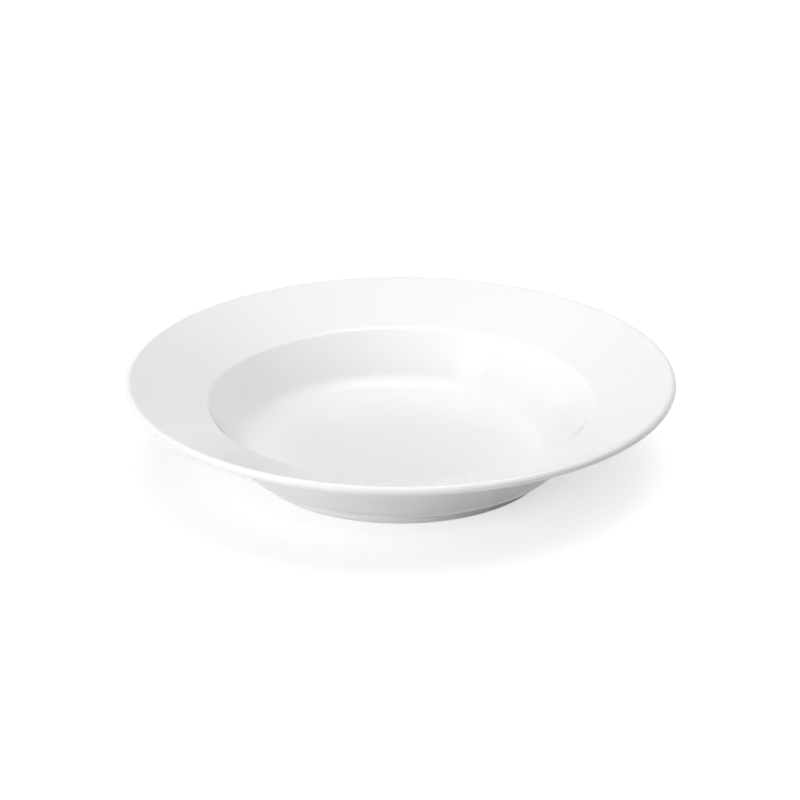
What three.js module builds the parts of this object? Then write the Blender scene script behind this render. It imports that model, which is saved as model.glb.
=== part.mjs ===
// A rimmed soup bowl of white glazed porcelain, turned from one section about the bowl's own axis.
// Millimetres, +Z up. The origin is the centre of the circle that the bowl stands on.
import * as THREE from "three";

// Rim and lip, measured over the glaze. The lip is a full round of the rim's thickness.
const RIM_RADIUS = 115;
const BOWL_HEIGHT = 40;
const RIM_WIDTH = 34.4;
const RIM_RISE = 10.9;
const RIM_THICKNESS = 3.7;
const UNDER_RIM_FILLET = 9;

// Well, measured over the glaze. The verge is the crease where the rim drops into the well.
const VERGE_ROUNDING = 3;
const WELL_SLOPE = THREE.MathUtils.degToRad(54.5);
const WELL_FILLET = 14;
const WALL_THICKNESS = 4.2;
const FLOOR_THICKNESS = 4;

// Heel and foot ring. The wall turns in at the heel, a little above the base's underside, and a
// shallow shoulder leads from there to the foot, which is set back from the heel.
const HEEL_RISE = 1.5;
const HEEL_ROUNDING = 12.5;
const SHOULDER_SLOPE = THREE.MathUtils.degToRad(8);
const FOOT_SETBACK = 6.3;
const FOOT_WIDTH = 6.2;
const FOOT_DRAFT = THREE.MathUtils.degToRad(8);
const FOOT_FILLET = 1;
const FOOT_EDGE_ROUNDING = 1.2;
const BASE_HEIGHT = 3.6;
const BASE_FILLET = 1.2;

// Glaze coat. The bare strip is the height of wiped foot between its rounded edge and the glaze.
// The bond gap is a hairline that keeps the coat and the porcelain from sharing a face.
const GLAZE_THICKNESS = 0.25;
const BOND_GAP = 0.03;
const BARE_STRIP = 0.3;

// Fineness of the turned surfaces: facets round the axis, and the widest step along a round edge.
const FACETS = 56;
const ARC_STEP = THREE.MathUtils.degToRad(23);
const SAME_POINT = 1e-6;

const at = (r, z) => new THREE.Vector2(r, z);
const heading = (angle) => at(Math.cos(angle), Math.sin(angle));
const move = (point, direction, distance) => point.clone().addScaledVector(direction, distance);

// Crossing of two straight faces of the section, each given by a point on it and its heading.
function crossing(pointA, headingA, pointB, headingB) {
  const between = pointB.clone().sub(pointA);
  return move(pointA, headingA, between.cross(headingB) / headingA.cross(headingB));
}

// A path through corners, each rounded to its radius, as points with outward normals.
// The material lies to the left of the path, so a left turn is an outer edge and a right turn a hollow.
// Where two roundings would meet on a short face, both shrink to fit it and share one point.
function roundedPath(corners) {
  const faces = corners.slice(1).map(({ point }, i) => point.clone().sub(corners[i].point));
  const legs = faces.map((face) => face.clone().normalize());
  const outward = legs.map((leg) => at(leg.y, -leg.x));
  const turns = legs.slice(1).map((leg, i) => Math.atan2(legs[i].cross(leg), legs[i].dot(leg)));
  const cuts = turns.map((turn, i) => corners[i + 1].radius * Math.tan(Math.abs(turn) / 2));
  const shares = faces.map((face, i) => Math.min(1, face.length() / ((cuts[i - 1] ?? 0) + (cuts[i] ?? 0))));
  const path = [{ point: corners[0].point, normal: outward[0] }];
  turns.forEach((turn, i) => {
    const share = Math.min(shares[i], shares[i + 1]);
    const reach = share * corners[i + 1].radius * Math.sign(turn);
    const centre = move(move(corners[i + 1].point, legs[i], -share * cuts[i]), outward[i], -reach);
    const steps = Math.ceil(Math.abs(turn) / ARC_STEP);
    for (let step = 0; step <= steps; step++) {
      const normal = outward[i].clone().rotateAround(at(0, 0), (turn * step) / steps);
      path.push({ point: move(centre, normal, reach), normal });
    }
  });
  path.push({ point: corners.at(-1).point, normal: outward.at(-1) });
  return path.filter(({ point }, i) => i === 0 || point.distanceTo(path[i - 1].point) > SAME_POINT);
}

// The surface that runs everywhere at one depth below a finished path.
const layer = (path, depth) => path.map(({ point, normal }) => move(point, normal, -depth));

// Rim: a plate whose upper face leaves the verge and runs into the lip's round without a break.
const verge = at(RIM_RADIUS - RIM_WIDTH, BOWL_HEIGHT - RIM_RISE);
const lipRadius = RIM_THICKNESS / 2;
const lipCentre = at(RIM_RADIUS - lipRadius, BOWL_HEIGHT - lipRadius);
const vergeToLip = lipCentre.clone().sub(verge);
const rimSlope = vergeToLip.angle() + Math.asin(lipRadius / vergeToLip.length());
const rimOut = heading(rimSlope);
const rimUp = heading(rimSlope + Math.PI / 2);
const lipEnd = move(lipCentre, rimOut, lipRadius);
const lipTop = move(lipEnd, rimUp, lipRadius);
const lipBottom = move(lipEnd, rimUp, -lipRadius);

// Well: two parallel cones for its wall, the inner one through the verge, and a flat floor.
const floorHeight = BASE_HEIGHT + FLOOR_THICKNESS;
const level = at(1, 0);
const wallUp = heading(WELL_SLOPE);
const outerWall = move(verge, heading(WELL_SLOPE - Math.PI / 2), WALL_THICKNESS);
const underRim = crossing(lipBottom, rimOut, outerWall, wallUp);
const wellEdge = crossing(at(0, floorHeight), level, verge, wallUp);
const heel = crossing(at(0, BASE_HEIGHT + HEEL_RISE), level, outerWall, wallUp);

// Foot ring: both sides lean towards each other on their way down to the table.
const footLean = Math.tan(FOOT_DRAFT);
const footTop = at(heel.x - FOOT_SETBACK, heel.y - FOOT_SETBACK * Math.tan(SHOULDER_SLOPE));
const footTopInside = at(footTop.x - FOOT_WIDTH, BASE_HEIGHT);
const glazeLine = FOOT_EDGE_ROUNDING * (1 - Math.sin(FOOT_DRAFT)) + BARE_STRIP;
const glazeEnd = at(footTop.x - (footTop.y - glazeLine) * footLean, glazeLine);
const glazeEndInside = at(footTopInside.x + (BASE_HEIGHT - glazeLine) * footLean, glazeLine);

// Finished outside of the bowl, from the glaze line on the foot, over the lip, to the middle of the floor.
const outside = roundedPath([
  { point: glazeEnd },
  { point: footTop, radius: FOOT_FILLET },
  { point: heel, radius: HEEL_ROUNDING },
  { point: underRim, radius: UNDER_RIM_FILLET },
  { point: lipBottom, radius: lipRadius },
  { point: lipTop, radius: lipRadius },
  { point: verge, radius: VERGE_ROUNDING },
  { point: wellEdge, radius: WELL_FILLET },
  { point: at(0, floorHeight) },
]);

// Finished base within the foot ring, from its middle to the glaze line on the foot's inner side.
const base = roundedPath([
  { point: at(0, BASE_HEIGHT) },
  { point: footTopInside, radius: BASE_FILLET },
  { point: glazeEndInside },
]);

// Porcelain under the glaze, and the bare standing ring that joins its two stretches.
const porcelainOutside = layer(outside, GLAZE_THICKNESS + BOND_GAP);
const porcelainBase = layer(base, GLAZE_THICKNESS + BOND_GAP);
const innerSide = porcelainBase.at(-1);
const outerSide = porcelainOutside[0];
const standingRing = roundedPath([
  { point: innerSide },
  { point: at(innerSide.x + innerSide.y * footLean, 0), radius: FOOT_EDGE_ROUNDING },
  { point: at(outerSide.x - outerSide.y * footLean, 0), radius: FOOT_EDGE_ROUNDING },
  { point: outerSide },
]);

// Closed sections. A coat is its finished face, backed by the parallel face on the porcelain.
const bodySection = [...porcelainBase, ...layer(standingRing, 0).slice(1, -1), ...porcelainOutside];
const mainCoatSection = [...layer(outside, GLAZE_THICKNESS).toReversed(), ...layer(outside, 0)];
const baseCoatSection = [...layer(base, 0), ...layer(base, GLAZE_THICKNESS).toReversed()];

function turned(name, section, look) {
  const geometry = new THREE.LatheGeometry(section, FACETS).rotateX(Math.PI / 2);
  const mesh = new THREE.Mesh(geometry, new THREE.MeshStandardMaterial(look));
  mesh.name = name;
  return mesh;
}

const barePorcelain = { color: 0xece6da, roughness: 0.85, metalness: 0 };
const whiteGlaze = { color: 0xf4f5f5, roughness: 0.08, metalness: 0 };

const bowl = new THREE.Group();
bowl.name = "rimmed_soup_bowl";
bowl.add(
  turned("porcelain_body", bodySection, barePorcelain),
  turned("main_glaze", mainCoatSection, whiteGlaze),
  turned("base_glaze", baseCoatSection, whiteGlaze),
);

export default bowl;
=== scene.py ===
import math

import bmesh
import bpy
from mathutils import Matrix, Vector
from mathutils.geometry import intersect_line_line


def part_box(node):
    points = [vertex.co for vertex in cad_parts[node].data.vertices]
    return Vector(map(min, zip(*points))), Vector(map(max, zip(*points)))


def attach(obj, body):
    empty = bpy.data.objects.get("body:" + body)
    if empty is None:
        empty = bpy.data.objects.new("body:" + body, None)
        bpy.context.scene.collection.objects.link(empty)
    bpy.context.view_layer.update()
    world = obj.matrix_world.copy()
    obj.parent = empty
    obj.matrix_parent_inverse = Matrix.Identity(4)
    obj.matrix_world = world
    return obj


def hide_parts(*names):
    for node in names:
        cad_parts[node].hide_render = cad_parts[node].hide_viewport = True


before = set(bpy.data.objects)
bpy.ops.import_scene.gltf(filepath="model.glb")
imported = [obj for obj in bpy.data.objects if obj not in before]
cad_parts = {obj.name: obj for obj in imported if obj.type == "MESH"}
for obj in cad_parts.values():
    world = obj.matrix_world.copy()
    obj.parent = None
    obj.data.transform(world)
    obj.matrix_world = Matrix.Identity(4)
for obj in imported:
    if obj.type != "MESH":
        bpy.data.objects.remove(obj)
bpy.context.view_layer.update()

# Porcelain body: the bowl itself, of hard white porcelain, pressed in a plaster mould by a turning
# roller and fired in one piece. Glaze hides all of it but the flat ring that it stands on, which is
# wiped clean before the firing so that the bowl doesn't weld itself to the kiln shelf.
MM = 0.001
glaze_low, glaze_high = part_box("main_glaze")
_, base_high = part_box("base_glaze")
GLAZE_THICKNESS = 0.25 * MM
BOND_GAP = 0.03 * MM
RIM_RADIUS = glaze_high.x
BOWL_HEIGHT = glaze_high.z
GLAZE_LINE = glaze_low.z
BASE_HEIGHT = base_high.z - GLAZE_THICKNESS
RIM_WIDTH = 34.4 * MM
RIM_RISE = 10.9 * MM
LIP_RADIUS = 1.85 * MM
UNDER_RIM_FILLET = 9 * MM
VERGE_ROUNDING = 3 * MM
WELL_SLOPE = math.radians(54.5)
WELL_FILLET = 14 * MM
WALL_THICKNESS = 4.2 * MM
FLOOR_THICKNESS = 4 * MM
HEEL_RISE = 1.5 * MM
HEEL_ROUNDING = 12.5 * MM
SHOULDER_SLOPE = math.radians(8)
FOOT_SETBACK = 6.3 * MM
FOOT_WIDTH = 6.2 * MM
FOOT_DRAFT = math.radians(8)
FOOT_FILLET = 1 * MM
FOOT_EDGE_ROUNDING = 1.2 * MM
BASE_FILLET = 1.2 * MM


def at(radius, height):
    """A point of the section, by its distance from the bowl's axis and its height."""
    return Vector((radius, 0, height))


def heading(angle):
    """The way that a face of the section runs, by its angle above level."""
    return at(math.cos(angle), math.sin(angle))


def crossing(point_a, heading_a, point_b, heading_b):
    """Where two straight faces of the section would meet."""
    return intersect_line_line(point_a, point_a + heading_a, point_b, point_b + heading_b)[0]


# Rim: a plate whose upper face runs from the verge, where it drops into the well, to the lip.
verge = at(RIM_RADIUS - RIM_WIDTH, BOWL_HEIGHT - RIM_RISE)
lip_centre = at(RIM_RADIUS - LIP_RADIUS, BOWL_HEIGHT - LIP_RADIUS)
verge_to_lip = lip_centre - verge
lip_sight = math.atan2(verge_to_lip.z, verge_to_lip.x)
rim_slope = lip_sight + math.asin(LIP_RADIUS / verge_to_lip.length)
rim_out = heading(rim_slope)
rim_up = heading(rim_slope + math.pi / 2)
lip_end = lip_centre + rim_out * LIP_RADIUS
lip_top = lip_end + rim_up * LIP_RADIUS
lip_bottom = lip_end - rim_up * LIP_RADIUS

# Well: two parallel cones for its wall, the inner one through the verge, and a flat floor.
floor_height = BASE_HEIGHT + FLOOR_THICKNESS
level = heading(0)
wall_up = heading(WELL_SLOPE)
outer_wall = verge + heading(WELL_SLOPE - math.pi / 2) * WALL_THICKNESS
under_rim = crossing(lip_bottom, rim_out, outer_wall, wall_up)
well_edge = crossing(at(0, floor_height), level, verge, wall_up)
heel = crossing(at(0, BASE_HEIGHT + HEEL_RISE), level, outer_wall, wall_up)

# Foot ring: set back from the heel, with sides that lean towards each other on their way down.
foot_lean = math.tan(FOOT_DRAFT)
foot_top = at(heel.x - FOOT_SETBACK, heel.z - FOOT_SETBACK * math.tan(SHOULDER_SLOPE))
foot_top_inside = at(foot_top.x - FOOT_WIDTH, BASE_HEIGHT)
glaze_end = at(foot_top.x - (foot_top.z - GLAZE_LINE) * foot_lean, GLAZE_LINE)
glaze_end_inside = at(foot_top_inside.x + (BASE_HEIGHT - GLAZE_LINE) * foot_lean, GLAZE_LINE)

# Corners of the finished outside and of the finished base, each with the radius that rounds it.
# The porcelain lies to the left of the way that they run.
outside_corners = [
    (glaze_end, 0),
    (foot_top, FOOT_FILLET),
    (heel, HEEL_ROUNDING),
    (under_rim, UNDER_RIM_FILLET),
    (lip_bottom, LIP_RADIUS),
    (lip_top, LIP_RADIUS),
    (verge, VERGE_ROUNDING),
    (well_edge, WELL_FILLET),
    (at(0, floor_height), 0),
]
base_corners = [
    (at(0, BASE_HEIGHT), 0),
    (foot_top_inside, BASE_FILLET),
    (glaze_end_inside, 0),
]

# Corners of the bare standing ring, which joins the porcelain's two glazed stretches from below.
bed_depth = GLAZE_THICKNESS + BOND_GAP
inner_side = glaze_end_inside + heading(FOOT_DRAFT) * bed_depth
outer_side = glaze_end + heading(math.pi - FOOT_DRAFT) * bed_depth
standing_corners = [
    (inner_side, 0),
    (at(inner_side.x + inner_side.z * foot_lean, 0), FOOT_EDGE_ROUNDING),
    (at(outer_side.x - outer_side.z * foot_lean, 0), FOOT_EDGE_ROUNDING),
    (outer_side, 0),
]

# Fineness of the turned surfaces: the widest step along a rounding, the widest gap between the rings
# of a straight face, the facets in a quarter of the bowl, and how near two points are to be one.
ARC_STEP = math.radians(4)
RING_SPACING = 2.5 * MM
QUARTER_STEPS = 60
JOINED = 1e-4 * MM

# The line that the bowl is turned about, and the axis on which the section turns left.
BOWL_CENTRE = (0, 0, 0)
BOWL_AXIS = (0, 0, 1)
LEFT_TURN = (0, -1, 0)


def inward(leg):
    """The way into the porcelain from a face that runs along a leg."""
    return Vector((-leg.z, 0, leg.x))


def draw_to(wire, tip, point):
    """Draws a straight stretch of the section, or starts it, and returns its new tip."""
    if tip is None:
        return wire.verts.new(point)
    end = bmesh.ops.extrude_vert_indiv(wire, verts=[tip])["verts"][0]
    end.co = point
    return end


def round_off(wire, tip, centre, turn):
    """Draws a round stretch of the section about a centre, and returns its new tip."""
    steps = math.ceil(abs(turn) / ARC_STEP)
    spun = bmesh.ops.spin(wire, geom=[tip], cent=centre, axis=LEFT_TURN, angle=turn, steps=steps)
    return spun["geom_last"][0]


def trace(wire, corners, depth=0, tip=None):
    """Draws the section through rounded corners, at a depth below its finished face."""
    points = [point for point, rounding in corners]
    legs = [(end - start).normalized() for start, end in zip(points, points[1:])]
    tip = draw_to(wire, tip, points[0] + inward(legs[0]) * depth)
    for (point, rounding), leg, next_leg in zip(corners[1:], legs, legs[1:]):
        turn = math.atan2(leg.x * next_leg.z - leg.z * next_leg.x, leg.dot(next_leg))
        tangent = point - leg * rounding * math.tan(abs(turn) / 2)
        tip = draw_to(wire, tip, tangent + inward(leg) * depth)
        tip = round_off(wire, tip, tangent + inward(leg) * math.copysign(rounding, turn), turn)
    return draw_to(wire, tip, points[-1] + inward(legs[-1]) * depth)


def turned(name, wire):
    """Turns a finished wire about the bowl's axis into a closed, smooth piece.

    A quarter is spun and then mirrored twice, which is much quicker than one full spin.
    """
    bmesh.ops.remove_doubles(wire, verts=wire.verts[:], dist=JOINED)
    long_edges = [edge for edge in wire.edges if edge.calc_length() > RING_SPACING]
    for edge in long_edges:
        cuts = int(edge.calc_length() / RING_SPACING)
        bmesh.ops.subdivide_edges(wire, edges=[edge], cuts=cuts)
    bmesh.ops.spin(
        wire,
        geom=wire.verts[:] + wire.edges[:],
        cent=BOWL_CENTRE,
        axis=BOWL_AXIS,
        angle=math.pi / 2,
        steps=QUARTER_STEPS,
    )
    for axis in "XY":
        half = wire.verts[:] + wire.edges[:] + wire.faces[:]
        bmesh.ops.mirror(wire, geom=half, axis=axis, merge_dist=JOINED)
    bmesh.ops.remove_doubles(wire, verts=wire.verts[:], dist=JOINED)
    bmesh.ops.recalc_face_normals(wire, faces=wire.faces[:])
    for face in wire.faces:
        face.smooth = True
    mesh = bpy.data.meshes.new(name)
    wire.to_mesh(mesh)
    wire.free()
    piece = bpy.data.objects.new(name, mesh)
    bpy.context.scene.collection.objects.link(piece)
    return piece


def linear(hex_colour):
    """The linear colour of an sRGB hex value."""
    channels = [int(hex_colour[i:i + 2], 16) / 255 for i in (1, 3, 5)]
    return [c / 12.92 if c <= 0.04045 else ((c + 0.055) / 1.055) ** 2.4 for c in channels] + [1]


def add_node(owner, kind, links=(), stops=(), **settings):
    """Adds a node, sets its properties and inputs by name, and links each (input, output) pair.

    A colour ramp also takes its stops, as (position, hex colour) pairs from the first to the last.
    """
    node = owner.node_tree.nodes.new(kind)
    for key, value in settings.items():
        if hasattr(node, key):
            setattr(node, key, value)
        else:
            node.inputs[key.replace("_", " ")].default_value = value
    for position, _ in stops[1:-1]:
        node.color_ramp.elements.new(position)
    for place, (position, hex_colour) in enumerate(stops):
        node.color_ramp.elements[place].position = position
        node.color_ramp.elements[place].color = linear(hex_colour)
    for socket, output in links:
        owner.node_tree.links.new(output, node.inputs[socket])
    return node


def new_material(name):
    """A material that has no nodes yet."""
    material = bpy.data.materials.new(name)
    material.use_nodes = True
    material.node_tree.nodes.clear()
    return material


def section_place(material, place):
    """Where a point lies in the section: its distance from the axis as X, its height as Z."""
    parts = add_node(material, "ShaderNodeSeparateXYZ", [("Vector", place)])
    flat = add_node(
        material,
        "ShaderNodeCombineXYZ",
        [("X", parts.outputs["X"]), ("Y", parts.outputs["Y"])],
    )
    radius = add_node(
        material,
        "ShaderNodeVectorMath",
        [(0, flat.outputs["Vector"])],
        operation="LENGTH",
    )
    section = add_node(
        material,
        "ShaderNodeCombineXYZ",
        [("X", radius.outputs["Value"]), ("Z", parts.outputs["Z"])],
    )
    return section.outputs["Vector"]


def near_ring(material, section, ring, reach, strength):
    """A strength at a ring of the bowl, given by its section point, that fades out over a reach."""
    distance = add_node(
        material,
        "ShaderNodeVectorMath",
        [(0, section)],
        operation="DISTANCE",
    )
    distance.inputs[1].default_value = ring
    fade = add_node(
        material,
        "ShaderNodeMapRange",
        [("Value", distance.outputs["Value"])],
        interpolation_type="SMOOTHSTEP",
        From_Min=0,
        From_Max=reach,
        To_Min=strength,
        To_Max=0,
    )
    return fade.outputs["Result"]


# Bisque-faced hard porcelain: matt, warm white, with a fine sugary grain where the glaze is wiped off.
# The grain is a tenth of a millimetre on the real one and is drawn coarser, so that it shows. The flat
# of the ring is rubbed a little greyer and smoother by tables and by other bowls in a stack.
BISQUE_GRAIN = 0.45 * MM
GRAIN_DETAIL = 4
BISQUE_BLOTCH = 6 * MM
BLOTCH_DETAIL = 2
BISQUE_RELIEF = 0.02 * MM
BISQUE_TONES = [(0, "#f6f4ef"), (0.45, "#f0ede6"), (1, "#dcd9d2")]
RUBBED_REACH = 2.4 * MM
FRESH_ROUGHNESS = 0.78
RUBBED_ROUGHNESS = 0.5
PORCELAIN_IOR = 1.52


def bare_porcelain():
    material = new_material("bisque_faced_porcelain")
    place = add_node(material, "ShaderNodeTexCoord").outputs["Object"]
    grain = add_node(
        material,
        "ShaderNodeTexNoise",
        [("Vector", place)],
        Scale=1 / BISQUE_GRAIN,
        Detail=GRAIN_DETAIL,
    )
    blotch = add_node(
        material,
        "ShaderNodeTexNoise",
        [("Vector", place)],
        Scale=1 / BISQUE_BLOTCH,
        Detail=BLOTCH_DETAIL,
    )
    standing_ring = (standing_corners[1][0] + standing_corners[2][0]) / 2
    rubbed = near_ring(material, section_place(material, place), standing_ring, RUBBED_REACH, 1)
    mottle = add_node(
        material,
        "ShaderNodeMath",
        [(0, grain.outputs["Fac"]), (1, blotch.outputs["Fac"])],
        operation="MULTIPLY",
    )
    worn = add_node(
        material,
        "ShaderNodeMath",
        [(0, rubbed), (1, blotch.outputs["Fac"])],
        operation="MULTIPLY",
    )
    shade = add_node(
        material,
        "ShaderNodeMath",
        [(0, mottle.outputs["Value"]), (1, worn.outputs["Value"])],
        operation="ADD",
    )
    tone = add_node(
        material,
        "ShaderNodeValToRGB",
        [("Fac", shade.outputs["Value"])],
        stops=BISQUE_TONES,
    )
    roughness = add_node(
        material,
        "ShaderNodeMapRange",
        [("Value", worn.outputs["Value"])],
        To_Min=FRESH_ROUGHNESS,
        To_Max=RUBBED_ROUGHNESS,
    )
    bump = add_node(
        material,
        "ShaderNodeBump",
        [("Height", grain.outputs["Fac"])],
        Strength=1,
        Distance=BISQUE_RELIEF,
    )
    shader = add_node(
        material,
        "ShaderNodeBsdfPrincipled",
        [
            ("Base Color", tone.outputs["Color"]),
            ("Roughness", roughness.outputs["Result"]),
            ("Normal", bump.outputs["Normal"]),
        ],
        IOR=PORCELAIN_IOR,
    )
    add_node(material, "ShaderNodeOutputMaterial", [("Surface", shader.outputs["BSDF"])])
    return material


body_wire = bmesh.new()
tip = trace(body_wire, base_corners, bed_depth)
tip = trace(body_wire, standing_corners, 0, tip)
trace(body_wire, outside_corners, bed_depth, tip)
body = turned("porcelain_bowl_body", body_wire)
body.data.materials.append(bare_porcelain())
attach(body, "root")
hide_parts("porcelain_body")

# Main glaze: a coat of glass over the porcelain, put on by dipping and melted smooth in the kiln. It
# runs without a break from the foot's outer side up under the rim, round the lip, over the rim and
# down into the well. Its open edge on the foot draws itself into a round bead as it melts.


def bead(wire, tip, other_face):
    """Rounds a coat's open edge, from the tip to the edge of its other face."""
    return round_off(wire, tip, (tip.co + other_face) / 2, math.pi)


# White tableware glaze: clear glass over white clay, so a bright, near neutral white under a sharp
# gloss. It drains off the lip and the verge, which look a touch warmer, and gathers in the hollows,
# which look a touch cooler. Its face isn't quite flat: low ripples a few millimetres wide soften and
# bend the edges of what it mirrors, and broad clouds of thicker glaze shift its tone a little.
RIPPLE_WIDTH = 7 * MM
RIPPLE_DETAIL = 1
RIPPLE_HEIGHT = 0.006 * MM
CLOUD_WIDTH = 45 * MM
CLOUD_DETAIL = 3
THIN_CLOUD = 0.3
THICK_CLOUD = 0.7
GLAZE_TONES = [(0, "#f6f5f3"), (0.5, "#f5f5f5"), (1, "#f2f3f4")]
SMOOTHEST = 0.05
DULLEST = 0.09
GLAZE_IOR = 1.5

# Rings where the coat is thinner or thicker: a point of the section, a reach round it, and a gain.
glaze_runs = [
    (lip_centre, 5 * MM, -0.3),
    (verge, 4 * MM, -0.2),
    (well_edge, 13 * MM, 0.2),
    (under_rim, 8 * MM, 0.15),
    (foot_top, 4 * MM, 0.2),
]


def white_glaze():
    material = new_material("white_tableware_glaze")
    place = add_node(material, "ShaderNodeTexCoord").outputs["Object"]
    cloud = add_node(
        material,
        "ShaderNodeTexNoise",
        [("Vector", place)],
        Scale=1 / CLOUD_WIDTH,
        Detail=CLOUD_DETAIL,
    )
    clouded = add_node(
        material,
        "ShaderNodeMapRange",
        [("Value", cloud.outputs["Fac"])],
        To_Min=THIN_CLOUD,
        To_Max=THICK_CLOUD,
    )
    depth = clouded.outputs["Result"]
    section = section_place(material, place)
    for ring, reach, gain in glaze_runs:
        gathered = near_ring(material, section, ring, reach, gain)
        added = add_node(
            material,
            "ShaderNodeMath",
            [(0, depth), (1, gathered)],
            operation="ADD",
        )
        depth = added.outputs["Value"]
    tone = add_node(
        material,
        "ShaderNodeValToRGB",
        [("Fac", depth)],
        stops=GLAZE_TONES,
    )
    roughness = add_node(
        material,
        "ShaderNodeMapRange",
        [("Value", cloud.outputs["Fac"])],
        To_Min=SMOOTHEST,
        To_Max=DULLEST,
    )
    ripple = add_node(
        material,
        "ShaderNodeTexNoise",
        [("Vector", place)],
        Scale=1 / RIPPLE_WIDTH,
        Detail=RIPPLE_DETAIL,
    )
    bump = add_node(
        material,
        "ShaderNodeBump",
        [("Height", ripple.outputs["Fac"])],
        Strength=1,
        Distance=RIPPLE_HEIGHT,
    )
    shader = add_node(
        material,
        "ShaderNodeBsdfPrincipled",
        [
            ("Base Color", tone.outputs["Color"]),
            ("Roughness", roughness.outputs["Result"]),
            ("Normal", bump.outputs["Normal"]),
        ],
        IOR=GLAZE_IOR,
    )
    add_node(material, "ShaderNodeOutputMaterial", [("Surface", shader.outputs["BSDF"])])
    return material


glaze = white_glaze()
main_wire = bmesh.new()
tip = trace(main_wire, outside_corners[::-1], -GLAZE_THICKNESS)
tip = bead(main_wire, tip, glaze_end)
trace(main_wire, outside_corners, 0, tip)
main_coat = turned("main_glaze_coat", main_wire)
main_coat.data.materials.append(glaze)
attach(main_coat, "root")
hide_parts("main_glaze")

# Base glaze: a second pool of the same glass, on the underside within the foot ring. The bare
# standing ring parts it from the main coat, and its open edge on the foot's inner side is a round
# bead too.
base_bed_edge = glaze_end_inside + heading(FOOT_DRAFT) * GLAZE_THICKNESS
base_wire = bmesh.new()
tip = trace(base_wire, base_corners)
tip = bead(base_wire, tip, base_bed_edge)
trace(base_wire, base_corners[::-1], -GLAZE_THICKNESS, tip)
base_coat = turned("base_glaze_coat", base_wire)
base_coat.data.materials.append(glaze)
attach(base_coat, "root")
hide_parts("base_glaze")

# Studio floor: a wide sheet of pale paper. It shows as white to the eye and in the glaze, and darkens
# where the bowl keeps the lamps' light off it.
FLOOR_SIZE = 8
PAPER_COLOUR = "#d4d4d4"
FLOOR_GLOW = 0.6
floor_mesh = bmesh.new()
bmesh.ops.create_grid(floor_mesh, x_segments=1, y_segments=1, size=FLOOR_SIZE / 2)
floor_data = bpy.data.meshes.new("studio_floor")
floor_mesh.to_mesh(floor_data)
floor_mesh.free()
floor = bpy.data.objects.new("studio_floor", floor_data)
bpy.context.scene.collection.objects.link(floor)


def seen_directly(owner):
    """One for rays that show a background to the eye, straight on, in gloss or through glass."""
    path = add_node(owner, "ShaderNodeLightPath")
    seen = path.outputs["Is Camera Ray"]
    for ray in ("Is Glossy Ray", "Is Transmission Ray"):
        either = add_node(
            owner,
            "ShaderNodeMath",
            [(0, seen), (1, path.outputs[ray])],
            operation="MAXIMUM",
        )
        seen = either.outputs["Value"]
    return seen


paper = new_material("pale_paper")
shown = add_node(
    paper,
    "ShaderNodeMapRange",
    [("Value", seen_directly(paper))],
    To_Max=FLOOR_GLOW,
)
paper_glow = add_node(paper, "ShaderNodeEmission", [("Strength", shown.outputs["Result"])])
paper_face = add_node(paper, "ShaderNodeBsdfDiffuse", Color=linear(PAPER_COLOUR))
paper_look = add_node(
    paper,
    "ShaderNodeAddShader",
    [(0, paper_glow.outputs["Emission"]), (1, paper_face.outputs["BSDF"])],
)
add_node(paper, "ShaderNodeOutputMaterial", [("Surface", paper_look.outputs["Shader"])])
floor.data.materials.append(paper)

# Studio light: soft boxes of lit cloth that face the bowl. They fade out towards their edges, so that
# the glaze mirrors no hard-edged panels. The ceiling and the box overhead light the bowl from above,
# the low box reaches its underside, and the key box is the patch that shows on the far wall.

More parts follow.
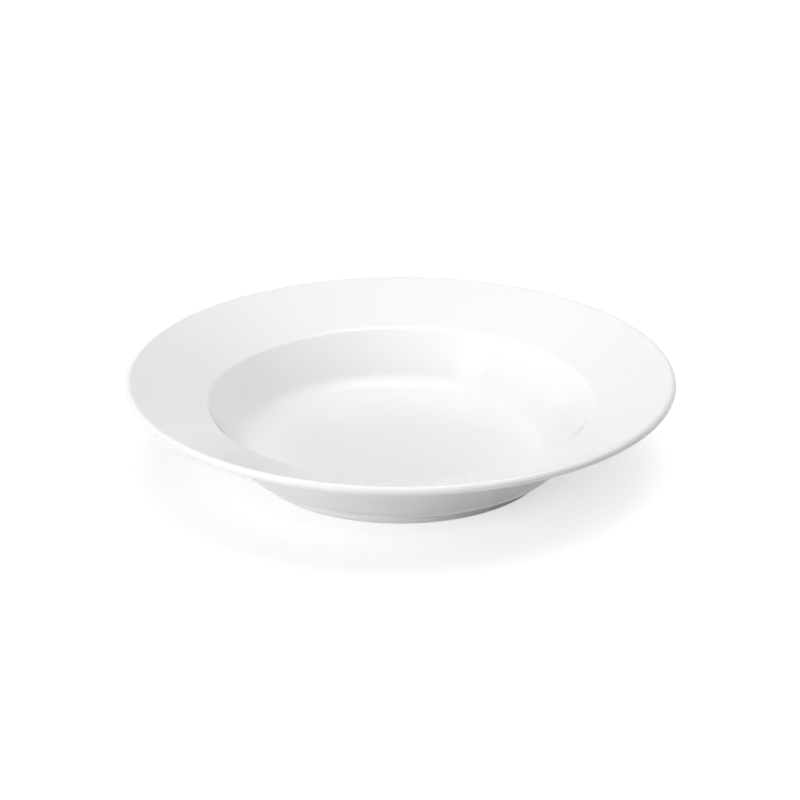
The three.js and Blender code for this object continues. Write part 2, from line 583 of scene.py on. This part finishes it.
# Each lamp's name, its bearing from the camera's side and its elevation in degrees, its distance,
# width and height in metres, how far in from its edge it fades, as a share of the way to its middle,
# and its power in watts.
lamps = [
    ("overhead_softbox", 180, 88, 2.2, 2.8, 2.8, 0.6, 42),
    ("white_ceiling", 180, 86, 2.6, 7.2, 7.2, 0.6, 84),
    ("low_left_softbox", -47, 13, 2.4, 4.2, 1.05, 0.6, 102),
    ("far_right_softbox", 105, 62, 2.4, 3.9, 3.9, 0.8, 56),
    ("far_left_softbox", -112, 43, 2.4, 1.1, 0.6, 0.4, 1.4),
    ("key_softbox", -55, 42, 2.4, 0.75, 0.95, 0.2, 3),
]
for name, bearing, elevation, distance, width, height, fading, watts in lamps:
    lamp = bpy.data.lights.new(name, "AREA")
    lamp.shape = "RECTANGLE"
    lamp.size = width
    lamp.size_y = height
    lamp.energy = watts
    lamp.use_nodes = True
    lamp.node_tree.nodes.clear()
    cloth = add_node(lamp, "ShaderNodeNewGeometry")
    # The cloth's own coordinates run from 0 to 1. Here they run from -1 to 1 about its middle.
    centred = add_node(
        lamp,
        "ShaderNodeMapping",
        [("Vector", cloth.outputs["Parametric"])],
        Location=(-1, -1, 0),
        Scale=(2, 2, 2),
    )
    inwards = add_node(
        lamp,
        "ShaderNodeTexGradient",
        [("Vector", centred.outputs["Vector"])],
        gradient_type="SPHERICAL",
    )
    fade = add_node(
        lamp,
        "ShaderNodeMapRange",
        [("Value", inwards.outputs["Fac"])],
        interpolation_type="SMOOTHSTEP",
        From_Max=fading,
    )
    lit_cloth = add_node(lamp, "ShaderNodeEmission", [("Strength", fade.outputs["Result"])])
    add_node(lamp, "ShaderNodeOutputLight", [("Surface", lit_cloth.outputs["Emission"])])
    lift = heading(math.radians(elevation))
    side = math.radians(bearing)
    away = Vector((math.sin(side) * lift.x, -math.cos(side) * lift.x, lift.z))
    softbox = bpy.data.objects.new(name, lamp)
    softbox.location = away * distance
    softbox.rotation_euler = away.to_track_quat("Z", "Y").to_euler()
    softbox.visible_camera = False
    bpy.context.scene.collection.objects.link(softbox)

# Studio backdrop: plain white all round, for the eye and for the gloss. It throws no light of its own
# on the bowl.
BACKDROP_COLOUR = "#ffffff"
backdrop = bpy.data.worlds.new("white_backdrop")
backdrop.use_nodes = True
backdrop.node_tree.nodes.clear()
white = add_node(
    backdrop,
    "ShaderNodeBackground",
    [("Strength", seen_directly(backdrop))],
    Color=linear(BACKDROP_COLOUR),
)
add_node(backdrop, "ShaderNodeOutputWorld", [("Surface", white.outputs["Background"])])
bpy.context.scene.world = backdrop

# Camera: a long lens at the photograph's angle, looking down on the bowl from the front. It aims a few
# millimetres off the bowl's middle, to frame the bowl as the photograph does. Lens and sensor are in
# millimetres, as Blender has them.
CAMERA_DISTANCE = 1.8
CAMERA_ELEVATION = math.radians(23.28)
CAMERA_LENS = 193.1
CAMERA_SENSOR = 36
CAMERA_CENTRE = Vector((0, 0, 20 * MM))
CAMERA_AIM = Vector((-0.3 * MM, 0, 29 * MM))
camera = bpy.data.cameras.new("camera")
camera.lens = CAMERA_LENS
camera.sensor_width = CAMERA_SENSOR
viewer = bpy.data.objects.new("camera", camera)
sight = heading(CAMERA_ELEVATION)
viewer.location = CAMERA_CENTRE + Vector((0, -sight.x, sight.z)) * CAMERA_DISTANCE
viewer.rotation_euler = (viewer.location - CAMERA_AIM).to_track_quat("Z", "Y").to_euler()
bpy.context.scene.collection.objects.link(viewer)
bpy.context.scene.camera = viewer
bpy.context.scene.view_settings.view_transform = "Standard"
